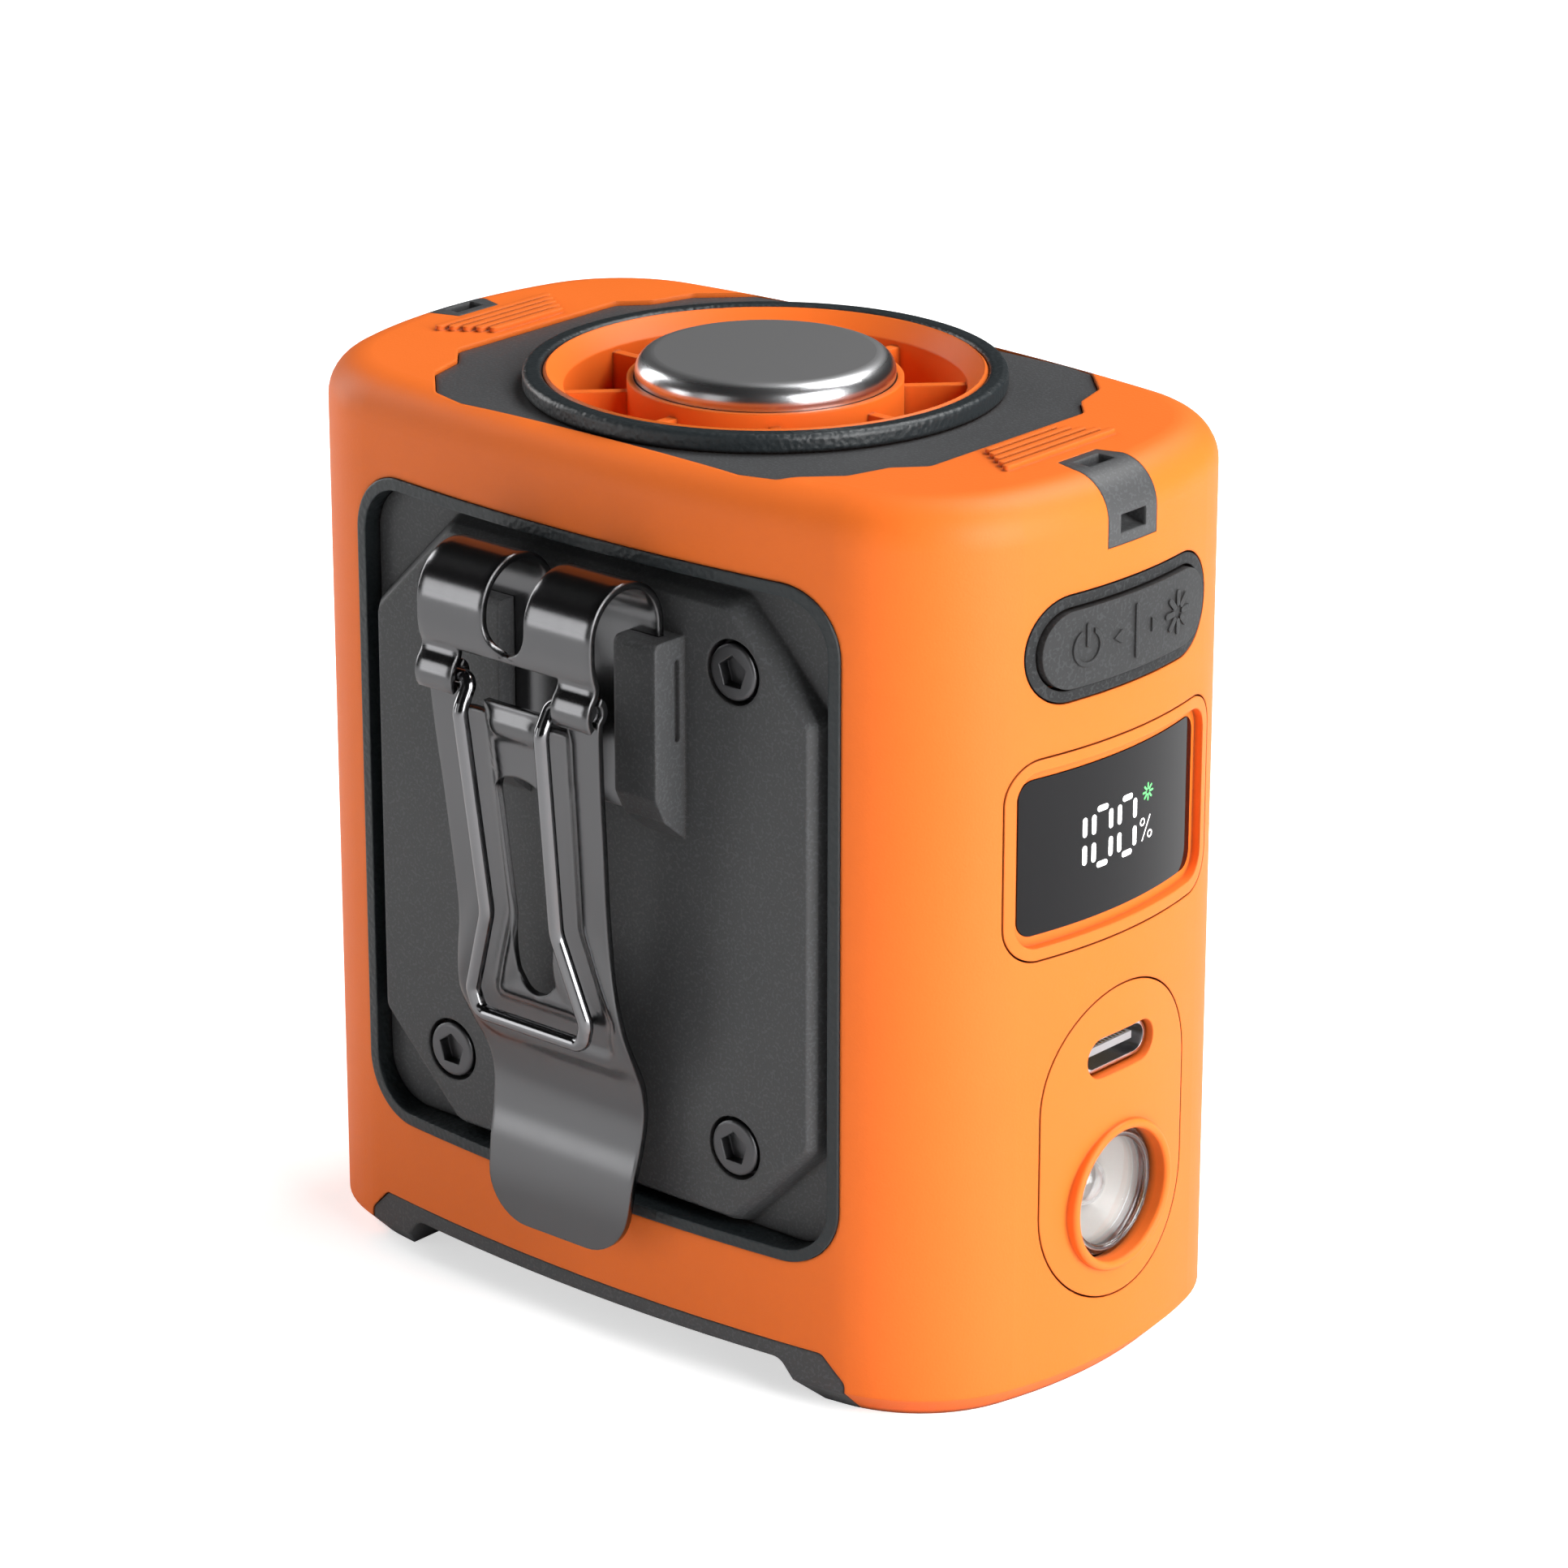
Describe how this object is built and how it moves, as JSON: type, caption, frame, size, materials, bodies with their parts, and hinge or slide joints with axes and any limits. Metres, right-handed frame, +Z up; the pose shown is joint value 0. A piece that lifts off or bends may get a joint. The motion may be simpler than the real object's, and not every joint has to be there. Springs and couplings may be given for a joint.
{
  "type": "belt clip fan",
  "caption": "Upright clip-on fan with a round top air outlet, spring belt clip, rocker key, display, charging socket and torch.",
  "frame": {"origin": "middle of the standing face, on the fan's axis", "axes": "+Z up along the fan's axis, -Y out of the clip face, +X out of the controls side"},
  "size_m": [0.0847, 0.0615, 0.0881],
  "materials": {
    "orange_shell": "fine matt grain",
    "orange_inner": "fine matt grain",
    "orange_insert": "smooth matt",
    "dark_plastic": "fine spark-eroded texture",
    "black_plastic": "matt moulded",
    "fan_plastic": "smooth moulded",
    "black_rubber": "satin rubber",
    "pad_rubber": "satin grain",
    "key_rubber": "satin grain",
    "dark_screws": "black coating",
    "black_steel": "black oxide",
    "clip_steel": "black nickel plating",
    "wire_steel": "black nickel plating",
    "polished_cap": "satin top, polished edge",
    "motor_steel": "ground",
    "copper_stator": "enamelled windings",
    "display_window": "black glass",
    "port_steel": "bright",
    "clear_lens": "clear",
    "mirror_silver": "bright metallised",
    "led_yellow": "phosphor",
    "board_green": "solder mask",
    "cell_wrap": "shrink wrap"
  },
  "bodies": {
    "body": {"housing": "orange_shell", "base_plate": "dark_plastic", "intake_grille": "dark_plastic", "base_screws": "black_steel", "front_gasket": "black_rubber", "rear_gasket": "black_rubber", "clip_panel": "dark_plastic", "rear_panel": "dark_plastic", "front_panel_screws": "dark_screws", "rear_panel_screws": "dark_screws", "clip_spring": "clip_steel", "top_plate": "dark_plastic", "outlet_ring": "black_rubber", "outlet_grille": "orange_inner", "hub_cap": "polished_cap", "air_duct": "black_plastic", "motor_stator": "copper_stator", "motor_bearings": "motor_steel", "button_pad": "pad_rubber", "key_switches": "black_plastic", "display_bezel": "orange_insert", "display_glass": "display_window", "display_module": "black_plastic", "port_plate": "orange_insert", "usb_port": "port_steel", "usb_tongue": "black_plastic", "torch_lens": "clear_lens", "torch_reflector": "mirror_silver", "torch_led": "led_yellow", "main_board": "board_green", "board_screws": "black_steel", "battery_cells": "cell_wrap", "battery_carrier": "black_plastic", "strap_loop_left": "dark_plastic", "strap_loop_right": "dark_plastic"},
    "fan_rotor": {"impeller": "fan_plastic", "motor_rotor": "motor_steel", "motor_shaft": "motor_steel"},
    "key": {"rocker_key": "key_rubber"},
    "lever": {"clip_lever": "clip_steel", "clip_wire": "wire_steel"}
  },
  "joints": [
    {"name": "impeller_spin", "type": "hinge", "parent": "body", "child": "fan_rotor", "pos_m": [0, 0, 0.048], "axis": [0, 0, 1], "continuous": true},
    {"name": "key_rock", "type": "hinge", "parent": "body", "child": "key", "pos_m": [0.0392, 0, 0.07095], "axis": [0, 0, 1], "range_deg": [-2, 2], "stiffness_Nm_per_rad": 0.15},
    {"name": "clip_open", "type": "hinge", "parent": "body", "child": "lever", "pos_m": [0, -0.0337, 0.0646], "axis": [-1, 0, 0], "range_deg": [0, 20], "stiffness_Nm_per_rad": 0.3}
  ]
}
